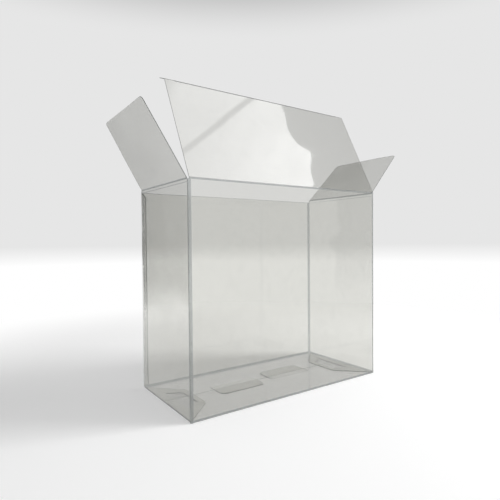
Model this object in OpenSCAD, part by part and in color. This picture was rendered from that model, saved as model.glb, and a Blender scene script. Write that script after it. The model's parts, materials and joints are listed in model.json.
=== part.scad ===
// Clear box protector: one creased sheet folded into a top-opening case, shown empty.
// Z points up, Y points from the front wall to the back wall, and X runs along the front.
// The origin is the centre of the bottom face. Lengths are in millimetres, angles in degrees.

/* [Sheet] */
// Thickness of the clear sheet
sheet_t = 0.5; // [0.35:0.05:0.6]
// Outer radius of the folds that stay folded
fold_r = 1.5; // [1.2:0.1:2.5]

/* [Case] */
// Outside width
case_w = 192; // [166:1:240]
// Outside depth
case_d = 90; // [70:1:130]
// Outside height, to the top of the closed lid
case_h = 170; // [110:1:240]
// Width of the flap that glues the loop of walls together
glue_flap_w = 10; // [6:0.5:20]
// How much shorter the glue flap's free edge is, at its top and at its bottom
glue_flap_slant = 5; // [2:0.5:10]
// How far the left wall's cut edge stays inside the back wall's outer face
seam_setback = 0.4; // [0.2:0.1:1]

/* [Lid] */
// Angle of the lid above its closed place
lid_open = 63.5; // [20:0.5:180]
// Distance from each side edge of the lid to the outer face of the side wall
lid_side_gap = 0.8; // [0.7:0.1:2]
// Running gap around the bead of each crease that moves
crease_gap = 0.2; // [0.15:0.05:0.3]
// Gap between the closed lid and the cut edge of the back wall
back_edge_gap = 1.8; // [1.7:0.1:3]

/* [Tuck flap] */
// Length of the tuck flap, from its crease to its free edge
tuck_len = 20; // [12:0.5:30]
// Angle of the tuck flap, folded in from the plane of the lid
tuck_fold = 42; // [0:1:90]
// Gap between the tucked-in flap and the back wall
tuck_gap = 0.7; // [0.5:0.1:0.9]
// Distance from each end of the tuck flap to the lid's side edge
tuck_end_gap = 1.5; // [0.5:0.1:4]
// How much narrower the tuck flap is at each end of its free edge
tuck_taper = 1.5; // [0:0.5:8]
// Radius of the tuck flap's corners
tuck_corner_r = 4; // [1:0.5:8]
// Length of the locking slit at each end of the tuck flap's crease
slit_len = 8; // [4:0.5:15]
// Width of the locking slit
slit_w = 0.6; // [0.6:0.1:1.5]

/* [Dust flaps] */
// Length of a dust flap, from its fold to its free edge
dust_len = 59; // [30:1:80]
// Angle of the left dust flap above its closed place
left_dust_open = 120; // [95:1:170]
// Angle of the right dust flap above its closed place
right_dust_open = 134; // [95:1:170]
// Distance from the front wall's outer face to the front end of a dust flap's fold
dust_front_gap = 2.5; // [2.5:0.5:10]
// How far the front edge slants back on its way to the free edge
dust_front_taper = 5; // [0:0.5:15]
// Distance from the back wall's outer face to the back end of a dust flap's fold
dust_back_gap = 2; // [2:0.5:10]
// How far the back edge slants forward on its way to the free edge
dust_back_taper = 1; // [0:0.5:15]
// Radius of a dust flap's corners
dust_corner_r = 3; // [1:0.5:10]

/* [Bottom] */
// Slit between the front and back main flaps
bottom_slit = 0.6; // [0.3:0.1:2]
// How far behind the middle of the case that slit lies
bottom_slit_y = 4; // [2:0.5:8]
// Distance from each end of a bottom flap to the fold beside it
bottom_end_gap = 0.5; // [0.3:0.1:2]
// Width of a locking tongue
tongue_w = 44; // [20:1:50]
// How far a locking tongue reaches past the slit
tongue_reach = 14; // [6:0.5:20]
// How far before the slit a locking tongue starts
tongue_root = 8; // [4:0.5:12]
// Distance from the middle of the case to a tongue's inner end
tongue_start = 6; // [2:0.5:10]
// Radius of a tongue's free corners
tongue_corner_r = 5; // [1:0.5:10]
// Length of a side flap, from its fold to its free edge
side_flap_len = 26; // [15:1:28]
// Width of a side flap's free edge
side_flap_end_w = 34; // [20:1:60]
// Radius of a side flap's corners
side_flap_corner_r = 3; // [1:0.5:8]

/* [Hidden] */
$fn = 64;
half_w = case_w / 2;
half_d = case_d / 2;
half_t = sheet_t / 2;
// The straight part of each wall ends where the corner folds begin
flat_x = half_w - fold_r;
flat_y = half_d - fold_r;
// Both crease axes lie in the middle of the sheet's thickness
axis_y = half_t - half_d;
axis_z = case_h - half_t;
// Distance from a crease axis to the edge of the panel that carries it
crease_setback = half_t + crease_gap;
wall_top = axis_z - crease_setback;
back_top = case_h - sheet_t - back_edge_gap;
// From the lid's crease to the tuck flap's crease, so that the flap slips inside the back wall
lid_span = case_d - 2 * sheet_t - tuck_gap;
lid_half_w = half_w - lid_side_gap;
crease_half_w = lid_half_w - slit_len;
tuck_half_w = lid_half_w - tuck_end_gap;
// Side flaps lie on top of the main flaps, so their fold is one sheet higher and tighter
side_fold_r = fold_r - sheet_t;
// A cutter reaches this far past what it cuts
reach = 5;

// A unit vector that points from a to b
function towards(a, b) = (b - a) / norm(b - a);

// An outline with a round corner of its own radius at each of its points, in order around it
module round_outline(points, radii) {
    count = len(points);
    legs = [for (i = [0:count - 1]) [
        towards(points[i], points[(i + count - 1) % count]),
        towards(points[i], points[(i + 1) % count])
    ]];
    half_angles = [for (leg = legs) acos(leg[0] * leg[1]) / 2];
    polygon([
        for (i = [0:count - 1])
            for (leg = radii[i] > 0 ? legs[i] : [legs[i][0]])
                points[i] + leg * radii[i] / tan(half_angles[i])
    ]);
    for (i = [0:count - 1]) {
        if (radii[i] > 0) {
            middle = (legs[i][0] + legs[i][1]) / norm(legs[i][0] + legs[i][1]);
            translate(points[i] + middle * radii[i] / sin(half_angles[i]))
                circle(radii[i]);
        }
    }
}

// A rectangle with round corners, centred on the origin
module round_rectangle(w, d, r) {
    square([w, d - 2 * r], center = true);
    square([w - 2 * r, d], center = true);
    for (x = [-1, 1]) {
        for (y = [-1, 1]) {
            translate([x * (w / 2 - r), y * (d / 2 - r)])
                circle(r);
        }
    }
}

// The section of a loop of sheet with round corners
module loop_section(w, d) {
    difference() {
        round_rectangle(w, d, fold_r);
        round_rectangle(w - 2 * sheet_t, d - 2 * sheet_t, fold_r - sheet_t);
    }
}

// The section of a fold: a piece of ring around the origin, from one angle to another, under 180 apart
module fold_section(inner_r, from, to) {
    far = 2 * (inner_r + sheet_t);
    middle = (from + to) / 2;
    intersection() {
        difference() {
            circle(inner_r + sheet_t);
            circle(inner_r);
        }
        polygon([
            [0, 0],
            far * [cos(from), sin(from)],
            2 * far * [cos(middle), sin(middle)],
            far * [cos(to), sin(to)]
        ]);
    }
}

// Extrudes a section drawn in Y and Z along X, centred on X
module along_x(length) {
    translate([-length / 2, 0, 0])
        rotate([90, 0, 90])
            linear_extrude(length)
                children();
}

// Extrudes a section drawn in X and Z along Y, from one place to another
module along_y(from, to) {
    translate([0, to, 0])
        rotate([90, 0, 0])
            linear_extrude(to - from)
                children();
}

// The loop of four walls, with its seam at the back left corner
module walls() {
    difference() {
        translate([0, 0, fold_r])
            linear_extrude(wall_top - fold_r) {
                difference() {
                    loop_section(case_w, case_d);
                    translate([-half_w - reach, flat_y])
                        square([reach + 2 * fold_r, fold_r + reach]);
                }
                translate([-half_w, 0])
                    square([sheet_t, half_d - seam_setback]);
                intersection() {
                    translate([half_t, 0])
                        loop_section(case_w - sheet_t, case_d);
                    translate([-half_w, flat_y])
                        square([reach, fold_r]);
                }
            }
        translate([-half_w - reach, flat_y, back_top])
            cube([case_w + 2 * reach, fold_r + reach, case_h]);
    }
}

// The glue flap: it folds off the back wall and lies inside the left wall
module glue_flap() {
    free_y = half_d - sheet_t - glue_flap_w;
    translate([-half_w + sheet_t, 0, 0])
        rotate([90, 0, 90])
            linear_extrude(sheet_t)
                polygon([
                    [flat_y, fold_r],
                    [flat_y, back_top],
                    [free_y, back_top - glue_flap_slant],
                    [free_y, fold_r + glue_flap_slant]
                ]);
}

// One main flap of the bottom, on the front side: its fold, its panel, and the tongue that lies
// inside the other main flap. The slit between the two main flaps is at slit_y.
module main_flap(slit_y) {
    flap_half_w = flat_x - bottom_end_gap;
    along_x(2 * flap_half_w)
        translate([-flat_y, fold_r])
            fold_section(fold_r - sheet_t, 180, 270);
    translate([-flap_half_w, -flat_y, 0])
        cube([2 * flap_half_w, flat_y + slit_y - bottom_slit / 2, sheet_t]);
    translate([tongue_start, slit_y, sheet_t])
        linear_extrude(sheet_t)
            round_outline(
                [
                    [0, -tongue_root],
                    [tongue_w, -tongue_root],
                    [tongue_w, tongue_reach],
                    [0, tongue_reach]
                ],
                [0, 0, tongue_corner_r, tongue_corner_r]
            );
}

// One side flap of the bottom with its fold, on the right side, glued on top of the main flaps
module side_flap() {
    flap_half_d = flat_y - bottom_end_gap;
    fold_x = half_w - side_fold_r;
    along_y(-flap_half_d, flap_half_d)
        translate([fold_x, fold_r])
            fold_section(side_fold_r - sheet_t, 270, 360);
    translate([0, 0, sheet_t])
        linear_extrude(sheet_t)
            round_outline(
                [
                    [fold_x, -flap_half_d],
                    [fold_x, flap_half_d],
                    [fold_x - side_flap_len, side_flap_end_w / 2],
                    [fold_x - side_flap_len, -side_flap_end_w / 2]
                ],
                [0, 0, side_flap_corner_r, side_flap_corner_r]
            );
}

// The glued bottom: the flaps of the back and left walls are those of the front and right walls, turned
module bottom() {
    for (side = [[0, bottom_slit_y], [180, -bottom_slit_y]]) {
        rotate([0, 0, side[0]]) {
            main_flap(side[1]);
            side_flap();
        }
    }
}

// A dust flap on the right side: a scored crease along the wall's top edge, and a panel leaning outward
module dust_flap(open) {
    front_y = dust_front_gap - half_d;
    back_y = half_d - dust_back_gap;
    translate([half_w - half_t, 0, wall_top])
        rotate([0, open - 90, 0]) {
            along_y(front_y, back_y)
                circle(half_t);
            translate([-half_t, 0, 0])
                rotate([90, 0, 90])
                    linear_extrude(sheet_t)
                        round_outline(
                            [
                                [front_y, 0],
                                [back_y, 0],
                                [back_y - dust_back_taper, dust_len],
                                [front_y + dust_front_taper, dust_len]
                            ],
                            [0, 0, dust_corner_r, dust_corner_r]
                        );
        }
}

// The walls, the glue flap, the bottom and both dust flaps are one folded sheet
module sleeve() {
    color([0.80, 0.83, 0.81]) {
        walls();
        glue_flap();
        bottom();
        dust_flap(right_dust_open);
        mirror([1, 0, 0])
            dust_flap(left_dust_open);
    }
}

// Puts a panel on the lid's crease, turned up from its closed place
module on_lid_crease() {
    translate([0, axis_y, axis_z])
        rotate([lid_open, 0, 0])
            children();
}

// The bead that a panel turns on, along its crease
module bead(length) {
    along_x(length)
        circle(half_t);
}

// The lid, with a bead at its crease and a slit at each end of the tuck flap's crease
module lid() {
    color([0.86, 0.88, 0.86])
        on_lid_crease() {
            bead(2 * lid_half_w);
            translate([0, 0, -half_t])
                linear_extrude(sheet_t)
                    polygon([
                        [-lid_half_w, 0],
                        [lid_half_w, 0],
                        [lid_half_w, lid_span],
                        [crease_half_w, lid_span],
                        [crease_half_w, lid_span - crease_setback],
                        [-crease_half_w, lid_span - crease_setback],
                        [-crease_half_w, lid_span],
                        [-lid_half_w, lid_span]
                    ]);
        }
}

// The tuck flap: its ends pass the crease and lock behind the lid when it is closed
module tuck_flap() {
    bead_half_w = crease_half_w - crease_gap;
    free_half_w = tuck_half_w - tuck_taper;
    color([0.74, 0.77, 0.75])
        on_lid_crease()
            translate([0, lid_span, 0])
                rotate([-tuck_fold, 0, 0]) {
                    bead(2 * bead_half_w);
                    translate([0, 0, -half_t])
                        linear_extrude(sheet_t)
                            round_outline(
                                [
                                    [-bead_half_w, 0],
                                    [bead_half_w, 0],
                                    [bead_half_w, slit_w],
                                    [tuck_half_w, slit_w],
                                    [free_half_w, tuck_len],
                                    [-free_half_w, tuck_len],
                                    [-tuck_half_w, slit_w],
                                    [-bead_half_w, slit_w]
                                ],
                                [0, 0, 0, 0, tuck_corner_r, tuck_corner_r, 0, 0]
                            );
                }
}

sleeve();
lid();
tuck_flap();
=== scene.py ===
# %% [markdown]
# # A clear folded box protector
# The real object is one sheet of clear PET, half a millimetre thick. It is die-cut flat, scored along
# its folds, folded round and glued at one corner. It stands open here: the lid leans back over the
# case, a narrow tuck flap hangs on the lid's far edge, and two dust flaps lean out at the sides.
# A clear thing shows only its edges, its folds and what it mirrors, so this lesson spends its effort
# on those three: true sheet thickness, scored folds, and a studio for the sheet to mirror.

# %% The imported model
import math

import bpy
import numpy as np
from mathutils import Matrix, Vector
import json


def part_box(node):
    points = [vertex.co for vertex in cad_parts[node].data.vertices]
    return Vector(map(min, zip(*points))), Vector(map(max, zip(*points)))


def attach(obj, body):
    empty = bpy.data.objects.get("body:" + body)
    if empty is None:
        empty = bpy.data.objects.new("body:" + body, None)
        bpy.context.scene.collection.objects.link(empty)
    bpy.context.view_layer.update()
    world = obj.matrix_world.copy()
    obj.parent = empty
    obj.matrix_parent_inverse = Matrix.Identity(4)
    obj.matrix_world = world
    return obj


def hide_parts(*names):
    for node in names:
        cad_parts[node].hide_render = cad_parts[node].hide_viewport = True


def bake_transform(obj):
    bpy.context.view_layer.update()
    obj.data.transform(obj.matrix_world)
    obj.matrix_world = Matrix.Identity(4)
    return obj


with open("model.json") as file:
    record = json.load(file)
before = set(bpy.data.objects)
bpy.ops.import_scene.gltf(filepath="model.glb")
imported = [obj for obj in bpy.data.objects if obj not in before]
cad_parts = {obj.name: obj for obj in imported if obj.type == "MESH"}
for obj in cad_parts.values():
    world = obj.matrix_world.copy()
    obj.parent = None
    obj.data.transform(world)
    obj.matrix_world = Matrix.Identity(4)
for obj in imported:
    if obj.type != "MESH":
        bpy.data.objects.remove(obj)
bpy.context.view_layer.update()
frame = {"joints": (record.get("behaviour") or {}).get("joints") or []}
joints = {joint["name"]: joint for joint in frame["joints"]}

# %% [markdown]
# ## Sizes
# Every length is in millimetres, as a folding-box maker would write it, and turns into metres only
# when a mesh is made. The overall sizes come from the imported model, so the sheets drawn here always
# lie where its solids are. The others are the maker's own: sheet, fold radius and gaps.

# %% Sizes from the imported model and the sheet
MM = 0.001
sleeve_low, sleeve_high = (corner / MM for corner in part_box("sleeve"))
lid_low, lid_high = (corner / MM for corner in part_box("lid"))
tuck_low, tuck_high = (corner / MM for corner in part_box("tuck_flap"))
lid_axis = Vector(joints["lid_crease"]["pos_m"]) / MM
tuck_axis = Vector(joints["tuck_crease"]["pos_m"]) / MM

sheet = 0.5
half_sheet = sheet / 2
fold_radius = 1.5
half_d = -sleeve_low.y
half_w = lid_high.x + 0.8
middle_x = half_w - half_sheet
middle_y = half_d - half_sheet
flat_x = half_w - fold_radius
flat_y = half_d - fold_radius
crease_gap = half_sheet + 0.2
wall_top = lid_axis.z - crease_gap
back_top = wall_top - 1.6
print(f"case {2 * half_w:.1f} x {2 * half_d:.1f} mm, walls up to {wall_top:.1f} mm")

# %% [markdown]
# ## A sheet as a thin solid
# A clear sheet drawn as a single surface bends light once and looks like the surface of a block.
# It needs two faces and a rim, as the real one has. So each panel is laid out as a grid of points in
# the middle of the sheet, with the direction that its face looks in, and one helper gives the grid
# its thickness. The rim gets the finish of a die-cut edge: its roughness is the real cut, and its
# dark grey is painted shade for the dark line that light bending in a clear sheet's edge gives.
# The scored folds get their own finish.

# %% The helper that gives a grid of points its thickness
CLEAR, SCORED, CUT_EDGE_PAINTED_SHADE, GLUED = range(4)
finishes = {}


def thin_solid(name, middle, facing, finish, thickness=sheet):
    """A closed sheet around a grid of points: rows x columns x 3, in millimetres."""
    rows, columns = middle.shape[:2]
    offset = facing * thickness / 2
    points = np.concatenate([(middle + offset).reshape(-1, 3), (middle - offset).reshape(-1, 3)])
    number = np.arange(rows * columns).reshape(rows, columns)
    quads = np.stack([number[:-1, :-1], number[1:, :-1], number[1:, 1:], number[:-1, 1:]], -1)
    quads = quads.reshape(-1, 4)
    other = rows * columns
    rim = np.concatenate([number[0, :], number[1:, -1], number[-1, -2::-1], number[-2:0:-1, 0]])
    after = np.roll(rim, -1)
    edge = np.stack([rim, after, after + other, rim + other], -1)
    faces = np.concatenate([quads, quads[:, ::-1] + other, edge])
    # Rims take the die-cut edge finish, a rough cut painted dark grey as painted shade for the edge's dark line.
    looks = np.concatenate([finish.ravel(), finish.ravel(), np.full(len(edge), CUT_EDGE_PAINTED_SHADE)])
    mesh = bpy.data.meshes.new(name)
    mesh.from_pydata((points * MM).tolist(), [], faces.tolist())
    mesh.polygons.foreach_set("material_index", looks.astype(np.int32))
    mesh.polygons.foreach_set("use_smooth", np.ones(len(faces), bool))
    if outward_volume(mesh) < 0:
        mesh.flip_normals()
    mesh.set_sharp_from_angle(angle=math.radians(35))
    piece = bpy.data.objects.new(name, mesh)
    bpy.context.scene.collection.objects.link(piece)
    print(f"{name}: {len(faces)} faces, {outward_volume(mesh) / MM ** 3 / 1000:.2f} cubic cm")
    return piece


def outward_volume(mesh):
    """The volume inside a mesh, which is negative if its faces look inward."""
    mesh.calc_loop_triangles()
    corners = np.array([mesh.vertices[i].co for t in mesh.loop_triangles for i in t.vertices])
    a, b, c = corners.reshape(-1, 3, 3).transpose(1, 0, 2)
    return float(np.einsum("ij,ij->i", a, np.cross(b, c)).sum() / 6)


# %% [markdown]
# Most panels are ruled: at each station along a path the sheet spans from one place to another on a
# straight line. A wall is ruled upward, a flap is ruled along its fold. Steps in an outline, such as
# the end of a slit, are two stations a hair apart.

# %% The helper that rules a sheet along a path
HAIR = 0.01


def ruled(path, facing, axis, start, end, count):
    """Grids of points and directions: at each path station, points from start to end along axis."""
    share = np.linspace(0, 1, count)[None, :, None]
    start, end = (np.broadcast_to(v, len(path))[:, None, None] for v in (start, end))
    middle = path[:, None, :] + np.asarray(axis) * (start + (end - start) * share)
    return middle, np.broadcast_to(facing[:, None, :], middle.shape)


def arc(centre, radius, angles):
    """Points on a circle in a plane, and the directions from its centre, for angles in degrees."""
    turn = np.radians(angles)
    out = np.stack([np.cos(turn), np.sin(turn)], -1)
    return np.asarray(centre) + radius * out, out


def steps(start, end, spacing):
    """Evenly spaced values from start to end."""
    return np.linspace(start, end, max(2, round(abs(end - start) / spacing) + 1))


def round_end(along, length, radius):
    """How far a side edge draws in near a flap's free edge, to round its corner."""
    past = np.clip(along - (length - radius), 0, radius)
    return radius - np.sqrt(radius ** 2 - past ** 2)


# %% [markdown]
# ## The loop of walls
# The front, right, back and left walls are one strip with four scored folds. At the back left corner
# the strip turns in once more: this last ten millimetres is the glue flap, which lies inside the left
# wall. A box modelled from four flat plates would miss that the folds are round and carry on through
# the corners, which is where a clear case catches the light. So the whole strip follows one path, seen
# from above, from the left wall's cut edge round to the glue flap's free edge.

# %% The path of the wall strip, seen from above
seam_y = half_d - 0.4
glue_flap_width = 10
glue_flap_slant = 5
glue_inset = sheet + 0.03
fold_steps = 10


def straight(start, end, facing, spacing=4.0):
    """Stations on a straight wall, with finer ones near its folds."""
    start, end = np.array(start, float), np.array(end, float)
    length = np.linalg.norm(end - start)
    places = np.concatenate([[0.6], steps(1.5, length - 1.5, spacing), [length - 0.6]]) / length
    points = start + (end - start) * places[:, None]
    return points, np.broadcast_to(np.array(facing, float), points.shape)


corner_radius = fold_radius - half_sheet
glue_x = -middle_x + glue_inset
strip = [
    straight((-middle_x, seam_y), (-middle_x, -flat_y), (-1, 0)),
    arc((-flat_x, -flat_y), corner_radius, np.linspace(180, 270, fold_steps + 1)),
    straight((-flat_x, -middle_y), (flat_x, -middle_y), (0, -1)),
    arc((flat_x, -flat_y), corner_radius, np.linspace(270, 360, fold_steps + 1)),
    straight((middle_x, -flat_y), (middle_x, flat_y), (1, 0)),
    arc((flat_x, flat_y), corner_radius, np.linspace(0, 90, fold_steps + 1)),
    straight((flat_x, middle_y), (glue_x + corner_radius, middle_y), (0, 1)),
    arc((glue_x + corner_radius, flat_y), corner_radius, np.linspace(90, 180, fold_steps + 1)),
    straight((glue_x, flat_y), (glue_x, half_d - sheet - glue_flap_width), (-1, 0), 2.0),
]
strip_points = np.concatenate([points for points, _ in strip])
strip_facing = np.concatenate([facing for _, facing in strip])
strip_part = np.concatenate([np.full(len(points), i) for i, (points, _) in enumerate(strip)])
print("stations round the walls:", len(strip_points))

# %% [markdown]
# The strip's height changes along the path: the back wall is cut a little lower so that the lid can
# close over it, and the glue flap is slanted at both ends so that it never shows past the wall.
# The flat panels of a real case are never quite flat. Each gets a bow of a third of a millimetre and
# a weaker wave, which vanish at the folds. That is too little to see as shape, but it bends the
# mirrored light the way a real sheet does.

# %% The walls' heights, bow and finish
wall_rows = np.concatenate([[0, 0.7], steps(4, 163, 4.0), [165.4, 165.8, 167.4, 167.8]]) / 167.8
corner_foot = 0.4
wall_low = np.where(np.isin(strip_part, (1, 3, 5)), corner_foot, fold_radius)
wall_high = np.where(strip_points[:, 1] > flat_y + HAIR, back_top, wall_top)
on_glue_flap = strip_part == len(strip) - 1
slant = np.clip((flat_y - strip_points[:, 1]) / (glue_flap_width - 1), 0, 1) * glue_flap_slant
wall_high = np.where(on_glue_flap, back_top - slant, wall_high)
wall_low = np.where(on_glue_flap, fold_radius + slant, wall_low)


def bowed(middle, facing, part, amount=0.3, ripple=0.08):
    """Pushes the points of one panel along its facing, most in its middle and not at its folds."""
    rows = np.flatnonzero(part)
    along = np.linspace(0, 1, len(rows))[:, None]
    up = np.linspace(0, 1, middle.shape[1])[None, :]
    fade = np.sin(np.pi * along) * np.sin(np.pi * up)
    wave = np.sin(2 * np.pi * (2.3 * along + 0.7 * up)) * np.cos(2 * np.pi * (0.4 * along + 1.6 * up))
    push = fade * (amount + ripple * wave)
    middle[rows] += facing[rows] * push[:, :, None]


path = np.column_stack([strip_points, np.zeros(len(strip_points))])
out = np.column_stack([strip_facing, np.zeros(len(strip_points))])
share = wall_rows[None, :, None]
span = (wall_high - wall_low)[:, None, None]
walls = path[:, None, :] + np.array([0, 0, 1]) * (wall_low[:, None, None] + span * share)
walls_facing = np.broadcast_to(out[:, None, :], walls.shape)
for panel in (0, 2, 4, 6):
    bowed(walls, walls_facing, strip_part == panel)

between = strip_part[:-1] * (strip_part[:-1] == strip_part[1:]) + (strip_part[:-1] != strip_part[1:])
walls_finish = np.where(np.isin(between, (1, 3, 5, 7)), SCORED, CLEAR)[:, None]
walls_finish = np.broadcast_to(walls_finish, (len(strip_points) - 1, len(wall_rows) - 1)).copy()
walls_finish[:, 0] = SCORED
walls_finish[:, -1] = SCORED
side_walls = np.isin(between, (0, 4))
walls_finish[side_walls, -3] = SCORED
glue_face = on_glue_flap[:-1] & on_glue_flap[1:]
walls_finish[glue_face, 2:-2] = GLUED
walls_finish[between == 7] = GLUED
wall_loop = thin_solid("wall_loop", walls, walls_facing, walls_finish)
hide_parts("sleeve")

# %% [markdown]
# ## The bottom
# Four flaps close the bottom. The two side flaps and the two main flaps fold in from the walls, and
# each main flap sends a tongue through the slit to lie on the other one. A bottom drawn as one plate
# would be quicker, but through clear walls the slit, the tongues and the overlaps are plain to see.
# A tongue is the same sheet as its flap, so the grid itself runs on into the tongue and climbs one
# sheet's thickness before it crosses the slit.

# %% The main flaps with their tongues
slit_y = 4
slit = 0.6
tongue = {"start": 6, "width": 44, "reach": 14, "corner": 5}
end_gap = 0.5
layer = sheet + 0.03


def main_flap(name, slit_place, turn):
    """The front main flap, or the back one when turned by half a turn about the upright axis."""
    tongue_end = tongue["start"] + tongue["width"]
    inner = steps(tongue["start"] + HAIR, tongue_end - HAIR, 3)
    rounding = tongue["corner"] * (1 - np.cos(np.radians([15, 30, 45, 60, 75])))
    x = np.sort(np.concatenate([
        steps(-flat_x + end_gap, tongue["start"] - HAIR, 4),
        inner,
        tongue["start"] + rounding,
        tongue_end - rounding,
        steps(tongue_end + HAIR, flat_x - end_gap, 4),
    ]))
    in_tongue = (x > tongue["start"]) & (x < tongue_end)
    inset = np.clip(np.minimum(x - tongue["start"], tongue_end - x), 0, tongue["corner"])
    corner_cut = tongue["corner"] - np.sqrt(tongue["corner"] ** 2 - (tongue["corner"] - inset) ** 2)
    far = np.where(in_tongue, slit_place + tongue["reach"] - corner_cut, slit_place - slit / 2)
    fold, fold_out = arc((-flat_y, fold_radius), corner_radius, np.linspace(182, 270, fold_steps + 1))
    rise_from = slit_place - 8
    near = steps(-flat_y + 0.7, rise_from, 4)
    past = np.linspace(0, 1, 14)[1:]
    beyond = rise_from + (far - rise_from)[:, None] * past
    common = np.append(fold[:, 0], near)
    y = np.column_stack([np.broadcast_to(common, (len(x), len(common))), beyond])
    climb = np.clip((y - rise_from) / 6, 0, 1) * in_tongue[:, None]
    z = half_sheet + layer * climb ** 2 * (3 - 2 * climb)
    z[:, :len(fold)] = fold[:, 1]
    middle = np.stack([np.broadcast_to(x[:, None], y.shape), y, z], -1)
    facing = np.zeros(middle.shape)
    facing[..., 2] = -1
    facing[:, :len(fold), 1:] = fold_out
    if turn:
        middle[..., :2] *= -1
        facing[..., :2] *= -1
    finish = np.full((len(x) - 1, y.shape[1] - 1), CLEAR)
    finish[:, :len(fold)] = SCORED
    return thin_solid(name, middle, facing, finish)


front_bottom_flap = main_flap("front_bottom_flap", slit_y, False)
back_bottom_flap = main_flap("back_bottom_flap", -slit_y, True)

# %% The side flaps, glued on top of the main flaps
side_flap_length = 26
side_flap_end = 17


def side_flap(name, side):
    """A side flap: a tight fold off the side wall, and a panel that narrows to its free edge."""
    radius = fold_radius - sheet - half_sheet
    fold_x = half_w - (fold_radius - sheet)
    fold, fold_out = arc((fold_x, fold_radius), radius, np.linspace(358, 270, fold_steps + 1))
    run = np.concatenate([[0.6], steps(2, side_flap_length - 2, 3), side_flap_length - np.array([1.2, 0.5, 0.1, 0])])
    x = np.append(fold[:, 0], fold_x - run)
    z = np.append(fold[:, 1] + 0.03, np.full(len(run), sheet + half_sheet + 0.03))
    path = np.stack([side * x, np.zeros(len(x)), z], -1)
    facing = np.zeros(path.shape)
    facing[:, 2] = -1
    facing[:len(fold), 0] = side * fold_out[:, 0]
    facing[:len(fold), 2] = fold_out[:, 1]
    half_root = flat_y - end_gap
    along = np.append(np.zeros(len(fold)), run)
    half = half_root - (half_root - side_flap_end) * along / side_flap_length
    half = half - round_end(along, side_flap_length, 1.2)
    middle, looks = ruled(path, facing, (0, 1, 0), -half, half, 24)
    finish = np.full((len(path) - 1, 23), CLEAR)
    finish[:len(fold)] = SCORED
    glue_rows = (along[:-1] > 7) & (along[:-1] < side_flap_length - 6)
    finish[glue_rows, 5:-5] = GLUED
    return thin_solid(name, middle, looks, finish)


left_side_flap = side_flap("left_side_flap", -1)
right_side_flap = side_flap("right_side_flap", 1)

# %% [markdown]
# ## The dust flaps
# A dust flap stands on the scored top edge of each side wall. The left one leans out by 30 degrees
# and the right one by 46, as cases do that have been opened a few times. Its fold is a short bend of
# the same sheet, so the path starts upright at the wall, turns out within a millimetre and runs on
# straight. The free corners are round, and the whole flap is slightly curled.

# %% Both dust flaps
dust_corner = 3
bend_radius = 0.8


def dust_flap(name, side, lean, dust_length):
    """A flap on a side wall's top edge, leaning out by an angle in degrees."""
    turn = np.linspace(0, lean, 7)
    bend, bend_out = arc((bend_radius, 0), bend_radius, 180 - turn)
    straight_part = np.concatenate([
        [0.5], steps(2, dust_length - 5, 3), dust_length - dust_corner * np.cos(np.radians([15, 30, 45, 60, 75, 90]))])
    reach = dust_length - bend_radius * math.radians(lean)
    straight_part = straight_part[straight_part < reach]
    straight_part = np.append(straight_part, reach)
    ahead = np.array([math.sin(math.radians(lean)), math.cos(math.radians(lean))])
    panel = bend[-1] + straight_part[:, None] * ahead
    places = np.concatenate([bend, panel])
    along = np.append(bend_radius * np.radians(turn), bend_radius * math.radians(lean) + straight_part)
    inward = np.concatenate([bend_out, np.broadcast_to(bend_out[-1], panel.shape)])
    path = np.stack([side * (middle_x + places[:, 0]), 0 * along, wall_top + 0.03 + places[:, 1]], -1)
    facing = np.stack([side * inward[:, 0], 0 * along, inward[:, 1]], -1)
    share = along / dust_length
    drawn_in = round_end(along, along[-1], dust_corner)
    front = -half_d + 2.5 + 5 * share + drawn_in
    back = half_d - 2 - share - drawn_in
    middle, looks = ruled(path, facing, (0, 1, 0), front, back, 32)
    across = np.linspace(-1, 1, 32)[None, :]
    curl = 0.5 * share[:, None] ** 2 * (1 - 0.6 * across ** 2)
    middle = middle + looks * (curl + 0.12 * np.sin(5 * share[:, None]) * np.sin(4 * across))[..., None]
    finish = np.full((len(path) - 1, 31), CLEAR)
    finish[:len(bend)] = SCORED
    return thin_solid(name, middle, looks, finish)


left_dust_flap = dust_flap("left_dust_flap", -1, 30, 60.2)
right_dust_flap = dust_flap("right_dust_flap", 1, 46, 59.4)

# %% [markdown]
# ## The lid
# The lid hangs on the front wall's top edge and leans back over the case. Its far edge carries the
# tuck flap between two short slits, and outside the slits the lid runs on as two small ears. A sheet
# that was stored flat and then bent keeps a soft twist: the panel is pushed along its facing by well
# under a millimetre, which shows only in the light that it mirrors.

# %% The lid panel
lid_half_w = lid_high.x
lid_span = (tuck_axis - lid_axis).length
lid_along = np.array(tuck_axis - lid_axis) / lid_span
lid_facing = np.cross((1, 0, 0), lid_along)
slit_length = 8
slit_start = lid_half_w - slit_length


def lid_panel():
    """The lid from its crease to the tuck flap's crease, with an ear outside each slit."""
    half = np.concatenate([steps(0, slit_start - HAIR, 3.5), steps(slit_start, lid_half_w, 2)])
    x = np.concatenate([-half[:0:-1], half])
    ear = np.abs(x) >= slit_start
    far = np.where(ear, lid_span, lid_span - crease_gap)
    share = np.concatenate([[0, 0.003], steps(0.03, 0.97, 0.03), [0.994, 1]])
    v = crease_gap + (far - crease_gap)[:, None] * share
    u = x[:, None] / lid_half_w
    fade = np.sin(np.pi * v / lid_span)
    push = fade * (0.03 * np.sin(2.4 * u - 0.5) + 0.03 * (1 + u) * np.sin(2 * np.pi * v / lid_span) - 0.04)
    middle = np.array(lid_axis) + v[..., None] * lid_along + push[..., None] * lid_facing
    middle[..., 0] += x[:, None]
    facing = np.broadcast_to(lid_facing, middle.shape)
    finish = np.full((len(x) - 1, len(share) - 1), CLEAR)
    finish[:, 0] = SCORED
    return thin_solid("lid_panel", middle, facing, finish)


lid = lid_panel()
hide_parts("lid")

# %% [markdown]
# ## The tuck flap
# A strip 20 mm long on the lid's far edge. When the case is shut it slips inside the back wall, so it
# is narrower than the lid, tapers a little and has round corners.

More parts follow.
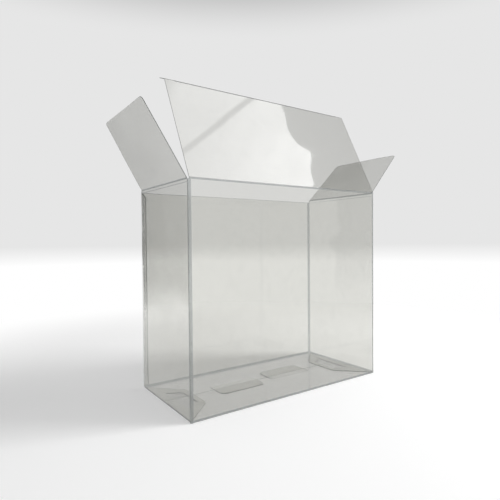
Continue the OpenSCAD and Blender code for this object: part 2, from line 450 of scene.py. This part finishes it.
# %% The tuck flap panel
tuck_length = 20
tuck_half_w = tuck_high.x
tuck_taper = 1.5
tuck_corner = 4
tuck_slope = math.radians(21.5)
tuck_along = np.array([0, math.cos(tuck_slope), math.sin(tuck_slope)])
tuck_facing = np.cross((1, 0, 0), tuck_along)


def tuck_panel():
    """The tuck flap from its crease to its free edge."""
    corner_rows = tuck_length - tuck_corner * (1 - np.sin(np.radians([15, 30, 45, 60, 75, 90])))
    v = np.concatenate([[crease_gap, 0.6 - HAIR, 0.6], steps(1.5, tuck_length - tuck_corner - 0.5, 2), corner_rows])
    half = tuck_half_w - tuck_taper * v / tuck_length - round_end(v, tuck_length, tuck_corner)
    half[:2] = slit_start - 0.2
    path = np.array(tuck_axis) + v[:, None] * tuck_along
    facing = np.broadcast_to(tuck_facing, path.shape)
    middle, looks = ruled(path, facing, (1, 0, 0), -half, half, 60)
    u = np.linspace(-1, 1, 60)[None, :]
    push = (v[:, None] / tuck_length) ** 2 * (0.25 * u ** 2 - 0.15)
    middle = middle + looks * push[..., None]
    finish = np.full((len(v) - 1, 59), CLEAR)
    return thin_solid("tuck_panel", middle, looks, finish)


tuck = tuck_panel()
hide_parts("tuck_flap")

# %% [markdown]
# ## The two folds that move
# The solids leave a fifth of a millimetre of running gap at each moving crease. On the real case there
# is no gap: the scored sheet simply bends. A strip of sheet less than a millimetre long closes it,
# bent round the crease from the one panel to the other as they stand here.

# %% The bending strips
def fold_strip(name, start, axis, end, half_width):
    """A thin strip along X that bends from start, past the crease axis, to end."""
    start, axis, end = (np.array(point, float) for point in (start, axis, end))
    t = np.linspace(0, 1, 9)[:, None]
    path = (1 - t) ** 2 * start + 2 * t * (1 - t) * axis + t ** 2 * end
    slope = 2 * (1 - t) * (axis - start) + 2 * t * (end - axis)
    facing = np.cross((1, 0, 0), slope / np.linalg.norm(slope, axis=1)[:, None])
    middle, looks = ruled(path, facing, (1, 0, 0), -half_width, half_width, 50)
    finish = np.full((len(t) - 1, 49), SCORED)
    piece = thin_solid(name, middle, looks, finish, thickness=sheet * 0.9)
    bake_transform(piece)
    return piece


joint_air = 0.02
lid_fold = fold_strip(
    "lid_fold",
    (0, lid_axis.y, wall_top + joint_air),
    lid_axis,
    np.array(lid_axis) + (crease_gap - joint_air) * lid_along,
    lid_half_w,
)
tuck_fold = fold_strip(
    "tuck_fold",
    np.array(tuck_axis) - (crease_gap - joint_air) * lid_along,
    tuck_axis,
    np.array(tuck_axis) + (crease_gap - joint_air) * tuck_along,
    slit_start - 0.2,
)

# %% [markdown]
# ## Clear PET sheet
# PET sheet is extruded, pressed between polished rolls and cooled, so its faces are glossy and nearly
# flat, with soft waves a few centimetres long. Its index of refraction is 1.57, which gives stronger
# reflections than glass. Seen through, it is very slightly grey-olive. One Principled shader with full
# transmission holds that. Lamps would throw a black shadow of it, because a path tracer can't aim
# through a bending surface, so shadow rays and bounced light pass straight through, dimmed by
# the same tint.

# %% Colour and node helpers
def linear(hex_colour):
    """An sRGB hex colour as linear red, green, blue and 1."""
    parts = [int(hex_colour[i:i + 2], 16) / 255 for i in (1, 3, 5)]
    return (*[p / 12.92 if p <= 0.04045 else ((p + 0.055) / 1.055) ** 2.4 for p in parts], 1)


def add(tree, kind, settings=None, links=None):
    """Adds one node, sets its sockets or properties, and links its inputs."""
    node = tree.nodes.new(kind)
    for name, value in (settings or {}).items():
        if isinstance(name, int) or name in node.inputs:
            node.inputs[name].default_value = value
        else:
            setattr(node, name, value)
    for name, socket in (links or {}).items():
        tree.links.new(socket, node.inputs[name])
    return node


def new_material(name):
    """An empty material and its node tree."""
    material = bpy.data.materials.new(name)
    material.use_nodes = True
    material.node_tree.nodes.clear()
    return material, material.node_tree


# %% The sheet's material and its scored, cut and glued kinds
shade = "#EBEBEB"


def pet_material(name, tint, roughness, rough_change, wave, wave_mm, transmission=1.0, ior=1.57,
                 haze=0.0, bonded=0.0, through=shade):
    """PET with its tint, gloss and surface waves. Lamps shine through it, dimmed by its tint."""
    material, tree = new_material(name)
    place = add(tree, "ShaderNodeTexCoord")
    waves = add(tree, "ShaderNodeTexNoise", {"Scale": 1 / (wave_mm * MM), "Detail": 1.5},
                {"Vector": place.outputs["Object"]})
    smears = add(tree, "ShaderNodeTexNoise", {"Scale": 1 / (14 * MM), "Detail": 4.0},
                 {"Vector": place.outputs["Object"]})
    gloss = add(tree, "ShaderNodeMapRange",
                {"From Min": 0.42, "From Max": 0.72, "To Min": roughness, "To Max": roughness + rough_change},
                {"Value": smears.outputs["Fac"]})
    clearness = add(tree, "ShaderNodeMapRange",
                    {"From Min": 0.5, "From Max": 0.7, "To Min": transmission, "To Max": transmission - haze},
                    {"Value": smears.outputs["Fac"]})
    bump = add(tree, "ShaderNodeBump", {"Strength": 1.0, "Distance": wave * MM},
               {"Height": waves.outputs["Fac"]})
    pet = add(tree, "ShaderNodeBsdfPrincipled",
              {"Base Color": linear(tint), "IOR": ior},
              {"Roughness": gloss.outputs["Result"], "Transmission Weight": clearness.outputs["Result"],
               "Normal": bump.outputs["Normal"]})
    straight_through = add(tree, "ShaderNodeBsdfTransparent", {"Color": linear(through)})
    ray = add(tree, "ShaderNodeLightPath")
    passes = add(tree, "ShaderNodeMath", {"operation": "MAXIMUM"},
                 {0: ray.outputs["Is Shadow Ray"], 1: ray.outputs["Is Diffuse Ray"]})
    passes = add(tree, "ShaderNodeMath", {"operation": "MAXIMUM", 1: bonded}, {0: passes.outputs["Value"]})
    mix = add(tree, "ShaderNodeMixShader", {},
              {0: passes.outputs["Value"], 1: pet.outputs["BSDF"], 2: straight_through.outputs["BSDF"]})
    add(tree, "ShaderNodeOutputMaterial", {}, {"Surface": mix.outputs["Shader"]})
    return material


finishes[CLEAR] = pet_material("clear PET sheet", "#ECECE9", 0.015, 0.03, 0.02, 30, haze=0.015)
finishes[SCORED] = pet_material("scored PET fold", "#C6C9C8", 0.14, 0.08, 0.02, 9, transmission=0.9)
# The die-cut edge is rough like a real cut; its dark grey is painted shade for the dark line that light gives at a
# clear sheet's edge.
finishes[CUT_EDGE_PAINTED_SHADE] = pet_material("die-cut PET edge with painted shade", "#7E827E", 0.45, 0.1, 0.02, 2, transmission=0.4)
finishes[GLUED] = pet_material("glued PET lap", "#F6F6F4", 0.1, 0.2, 0.02, 12, transmission=0.94, ior=1.15,
                                bonded=0.75, through="#FAFAFA")

sleeve_pieces = [wall_loop, front_bottom_flap, back_bottom_flap, left_side_flap, right_side_flap,
                 left_dust_flap, right_dust_flap]
for piece in [*sleeve_pieces, lid, tuck, lid_fold, tuck_fold]:
    for index in sorted(finishes):
        piece.data.materials.append(finishes[index])
for piece in sleeve_pieces:
    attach(piece, "sleeve")
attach(lid, "lid")
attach(tuck, "tuck_flap")
print("pieces:", len(sleeve_pieces) + 4)

# %% [markdown]
# ## The camera
# The photograph was taken from the front left, a little below the case's top edge, with a wide lens
# from about forty centimetres away. Its place was found by fitting a camera to six corners of the
# case, so here it is only set down.

# %% Camera
photo_width = 500
focal_px = 424.22
camera_place = Vector((-0.22637, -0.30641, 0.12660))
yaw, down, roll = (math.radians(angle) for angle in (34.68, 1.32, -0.474))
ahead = Vector((math.sin(yaw) * math.cos(down), math.cos(yaw) * math.cos(down), -math.sin(down)))
level = Vector((math.cos(yaw), -math.sin(yaw), 0))
above = level.cross(ahead)
right = math.cos(roll) * level + math.sin(roll) * above
up = -math.sin(roll) * level + math.cos(roll) * above
camera = bpy.data.objects.new("camera", bpy.data.cameras.new("camera"))
camera.matrix_world = Matrix.Translation(camera_place) @ Matrix((right, up, -ahead)).transposed().to_4x4()
camera.data.sensor_width = 36
camera.data.lens = 36 * focal_px / photo_width
camera.data.clip_start = 0.01
bpy.context.scene.collection.objects.link(camera)
bpy.context.scene.camera = camera
print(f"lens {camera.data.lens:.1f} mm")

# %% [markdown]
# ## The studio
# A pale grey backdrop runs into a white floor. Near the case the floor is a matt white board that
# takes the lamps' light and the shadow. Further off it turns into plain white and then into the grey
# of the backdrop, for rays that see it and not for light that falls on the case.

# %% Floor and backdrop
backdrop_grey = "#E6E6E6"
board_white = "#F2F2F2"


def flat_polygon(name, corners):
    """A flat face through corner points in metres."""
    mesh = bpy.data.meshes.new(name)
    mesh.from_pydata([tuple(c) for c in corners], [], [list(range(len(corners)))])
    piece = bpy.data.objects.new(name, mesh)
    bpy.context.scene.collection.objects.link(piece)
    return piece


floor_radius = 30
turns = np.radians(np.arange(0, 360, 5))
floor = flat_polygon("floor", [(floor_radius * math.cos(a), floor_radius * math.sin(a), 0) for a in turns])


def floor_material():
    """White board near the case, plain white further off, and the backdrop's grey at the horizon."""
    material, tree = new_material("white board and sweep")
    place = add(tree, "ShaderNodeTexCoord")
    distance = add(tree, "ShaderNodeVectorMath", {"operation": "LENGTH"}, {0: place.outputs["Object"]})
    nearness = add(tree, "ShaderNodeMath", {"operation": "DIVIDE", 0: 1.0}, {1: distance.outputs["Value"]})
    fade = add(tree, "ShaderNodeMapRange", {"From Min": 1 / 2.2, "From Max": 1 / 12, "To Min": 0, "To Max": 1},
               {"Value": nearness.outputs["Value"]})
    colour = add(tree, "ShaderNodeMix", {"data_type": "RGBA", 6: (1, 1, 1, 1), 7: linear(backdrop_grey)},
                 {0: fade.outputs["Result"]})
    board = add(tree, "ShaderNodeBsdfDiffuse", {"Color": linear(board_white)})
    lift = add(tree, "ShaderNodeEmission", {"Color": (1, 1, 1, 1), "Strength": 0.16})
    near = add(tree, "ShaderNodeAddShader", {}, {0: board.outputs["BSDF"], 1: lift.outputs["Emission"]})
    plain = add(tree, "ShaderNodeEmission", {"Strength": 1.0}, {"Color": colour.outputs[2]})
    ray = add(tree, "ShaderNodeLightPath")
    seen = add(tree, "ShaderNodeMath", {"operation": "ADD"},
               {0: ray.outputs["Is Camera Ray"], 1: ray.outputs["Is Glossy Ray"]})
    seen = add(tree, "ShaderNodeMath", {"operation": "ADD", "use_clamp": True},
               {0: seen.outputs["Value"], 1: ray.outputs["Is Transmission Ray"]})
    far = add(tree, "ShaderNodeMapRange", {"interpolation_type": "SMOOTHSTEP", "From Min": 0.22, "From Max": 0.5},
              {"Value": distance.outputs["Value"]})
    blend = add(tree, "ShaderNodeMath", {"operation": "MULTIPLY"},
                {0: far.outputs["Result"], 1: seen.outputs["Value"]})
    near_seen = add(tree, "ShaderNodeMixShader", {},
                    {0: seen.outputs["Value"], 1: board.outputs["BSDF"], 2: near.outputs["Shader"]})
    mix = add(tree, "ShaderNodeMixShader", {},
              {0: blend.outputs["Value"], 1: near_seen.outputs["Shader"], 2: plain.outputs["Emission"]})
    add(tree, "ShaderNodeOutputMaterial", {}, {"Surface": mix.outputs["Shader"]})
    return material


floor.data.materials.append(floor_material())

# %% [markdown]
# The world is the room: pale grey up to thirty degrees above the horizon, dark overhead. The dark
# ceiling matters more than it seems, because the right dust flap and half of the lid mirror it and
# look grey against the pale backdrop.

# %% The room
world = bpy.data.worlds.new("studio")
bpy.context.scene.world = world
world.use_nodes = True
room = world.node_tree
room.nodes.clear()
direction = add(room, "ShaderNodeTexCoord")
height = add(room, "ShaderNodeSeparateXYZ", {}, {0: direction.outputs["Generated"]})
ceiling = add(room, "ShaderNodeMapRange", {"interpolation_type": "SMOOTHSTEP", "From Min": 0.42, "From Max": 0.62},
              {"Value": height.outputs["Z"]})
tone = add(room, "ShaderNodeMix", {"data_type": "RGBA", 6: linear(backdrop_grey), 7: linear("#2A2B2A")},
           {0: ceiling.outputs["Result"]})
sky = add(room, "ShaderNodeBackground", {"Strength": 1.0}, {"Color": tone.outputs[2]})
add(room, "ShaderNodeOutputWorld", {}, {"Surface": sky.outputs["Background"]})

# %% [markdown]
# Overhead hangs a large soft box, one sheet of lit cloth with the shade of a rod across it. The lid
# mirrors it: its pale left part is the soft box, its grey right part is the ceiling past the box's edge,
# and the thin dark diagonal is the rod's shade. The key lamp stands to the right and throws the soft
# shadow to the left. A dark card behind the case on the left is seen only in reflections. It gives the
# left dust flap and the left wall their grey, as a photographer's flag does.

# %% Soft box, key lamp and flag
def soft_box_material(rod_start, rod_end):
    """Lit cloth, brighter to the right, dim at its left end, with the shade of a rod across it."""
    material, tree = new_material("soft box cloth")
    place = add(tree, "ShaderNodeTexCoord").outputs["Object"]
    across = add(tree, "ShaderNodeSeparateXYZ", {}, {0: place}).outputs["X"]
    lit = add(tree, "ShaderNodeMapRange", {"From Min": 0.3, "From Max": 1.05, "To Min": 1.25, "To Max": 2.8},
              {"Value": across})
    dim_end = add(tree, "ShaderNodeMapRange",
                  {"interpolation_type": "SMOOTHSTEP", "From Min": 0.3, "From Max": 0.36, "To Min": 0.45},
                  {"Value": across})
    cloth = add(tree, "ShaderNodeTexNoise", {"Scale": 5.0, "Detail": 2.0}, {"Vector": place})
    uneven = add(tree, "ShaderNodeMapRange", {"From Min": 0.3, "From Max": 0.7, "To Min": 0.88, "To Max": 1.12},
                 {"Value": cloth.outputs["Fac"]})
    rod = (rod_end - rod_start).normalized()
    sideways = Vector((-rod.y, rod.x, 0))
    beside = add(tree, "ShaderNodeVectorMath", {"operation": "DOT_PRODUCT", 1: sideways}, {0: place})
    off_rod = add(tree, "ShaderNodeMath", {"operation": "SUBTRACT", 1: sideways.xy @ rod_start},
                  {0: beside.outputs["Value"]})
    distance = add(tree, "ShaderNodeMath", {"operation": "ABSOLUTE"}, {0: off_rod.outputs["Value"]})
    rod_shade = add(tree, "ShaderNodeMapRange",
                    {"interpolation_type": "SMOOTHSTEP", "From Min": 0.004, "From Max": 0.02, "To Min": 0.25},
                    {"Value": distance.outputs["Value"]})
    level = lit.outputs["Result"]
    for factor in (dim_end, uneven, rod_shade):
        product = add(tree, "ShaderNodeMath", {"operation": "MULTIPLY"}, {0: level, 1: factor.outputs["Result"]})
        level = product.outputs["Value"]
    glow = add(tree, "ShaderNodeEmission", {"Color": (1, 1, 1, 1)}, {"Strength": level})
    add(tree, "ShaderNodeOutputMaterial", {}, {"Surface": glow.outputs["Emission"]})
    return material


box_height = 1.2
edge_start, edge_end = Vector((0.752, -0.26)), Vector((1.09, -0.56))
edge = (edge_end - edge_start).normalized()
outward = Vector((-edge.y, edge.x))
right_edge = []
for t in np.linspace(0, (edge_end - edge_start).length, 40):
    bulge = 0.037 * math.exp(-((t - 0.285) / 0.062) ** 2)
    dip = 0.012 * math.exp(-((t - 0.115) / 0.05) ** 2)
    right_edge.append(edge_start + edge * t + outward * (bulge - dip))
outline = [(-0.25, 0.20), (0.70, -0.21), *right_edge, (1.06, -1.2), (-0.25, -1.2)]
soft_box = flat_polygon("soft_box", [(x, y, box_height) for x, y in outline])
soft_box.data.materials.append(soft_box_material(Vector((0.667, -0.217)), Vector((0.05, -0.908))))
soft_box.visible_camera = False


def lamp(name, place, target, size, power):
    """A square area lamp in watts, aimed at a point, which no surface mirrors."""
    light = bpy.data.lights.new(name, "AREA")
    light.shape = "SQUARE"
    light.size = size
    light.energy = power
    thing = bpy.data.objects.new(name, light)
    thing.location = place
    thing.rotation_euler = (Vector(target) - Vector(place)).to_track_quat("-Z", "Y").to_euler()
    thing.visible_camera = False
    thing.visible_glossy = False
    thing.visible_transmission = False
    bpy.context.scene.collection.objects.link(thing)
    return thing


lamp("key", (1.7, -1.0, 1.4), (0, 0, 0.05), 0.9, 62)

def flag_panel(name, corners, tone):
    """A piece of dark felt behind the case that only its mirror faces see."""
    panel = flat_polygon(name, [(x, 0.25, z) for x, z in corners])
    material, tree = new_material(name + " felt")
    felt = add(tree, "ShaderNodeEmission", {"Color": linear(tone), "Strength": 1.0})
    nothing = add(tree, "ShaderNodeBsdfTransparent")
    ray = add(tree, "ShaderNodeLightPath")
    mirrored = add(tree, "ShaderNodeMath", {"operation": "MINIMUM", 1: 1.0}, {0: ray.outputs["Glossy Depth"]})
    place = add(tree, "ShaderNodeTexCoord")
    height = add(tree, "ShaderNodeSeparateXYZ", {}, {0: place.outputs["Object"]})
    frayed = add(tree, "ShaderNodeTexNoise", {"Scale": 14.0, "Detail": 1.0}, {"Vector": place.outputs["Object"]})
    hem = add(tree, "ShaderNodeMath", {"operation": "MULTIPLY_ADD", 1: 0.05}, {0: frayed.outputs["Fac"], 2: height.outputs["Z"]})
    fade = add(tree, "ShaderNodeMapRange", {"interpolation_type": "SMOOTHSTEP", "From Min": 0.04, "From Max": 0.095},
               {"Value": hem.outputs["Value"]})
    cover = add(tree, "ShaderNodeMath", {"operation": "MULTIPLY"},
                {0: mirrored.outputs["Value"], 1: fade.outputs["Result"]})
    mix = add(tree, "ShaderNodeMixShader", {},
              {0: cover.outputs["Value"], 1: nothing.outputs["BSDF"], 2: felt.outputs["Emission"]})
    add(tree, "ShaderNodeOutputMaterial", {}, {"Surface": mix.outputs["Shader"]})
    panel.data.materials.append(material)
    for rays in ("camera", "diffuse", "volume_scatter", "shadow"):
        setattr(panel, f"visible_{rays}", False)


seam_top, seam_foot = (-0.200, 0.215), (-0.2165, 0.1025)
seam_end = (-0.152, 0.1185)
flag_panel("flag_near", [seam_foot, seam_end, (-0.152, 0.122), (-0.165, 0.14), (-0.167, 0.23),
                         (-0.17, 0.4), seam_top], "#020202")
flag_panel("flag_far", [(-0.45, 0.01), (-0.235, 0.01), (-0.235, 0.097), seam_foot, seam_top,
                        (-0.17, 0.4), (-0.45, 0.4)], "#303130")
flag_panel("flag_low", [(-0.235, 0.01), (-0.166, 0.01), (-0.164, 0.1), (-0.152, 0.11), seam_end,
                        seam_foot, (-0.235, 0.097)], "#3E3F3E")

# %% [markdown]
# ## Rendering
# A ray through an empty clear case crosses eight or more surfaces, so the path tracer is allowed
# enough bounces to come out on the other side. Colours are shown plainly, as they are written.

scene = bpy.context.scene
scene.cycles.max_bounces = 40
scene.cycles.transmission_bounces = 40
scene.cycles.transparent_max_bounces = 40
scene.cycles.glossy_bounces = 10
scene.view_settings.view_transform = "Standard"

import json
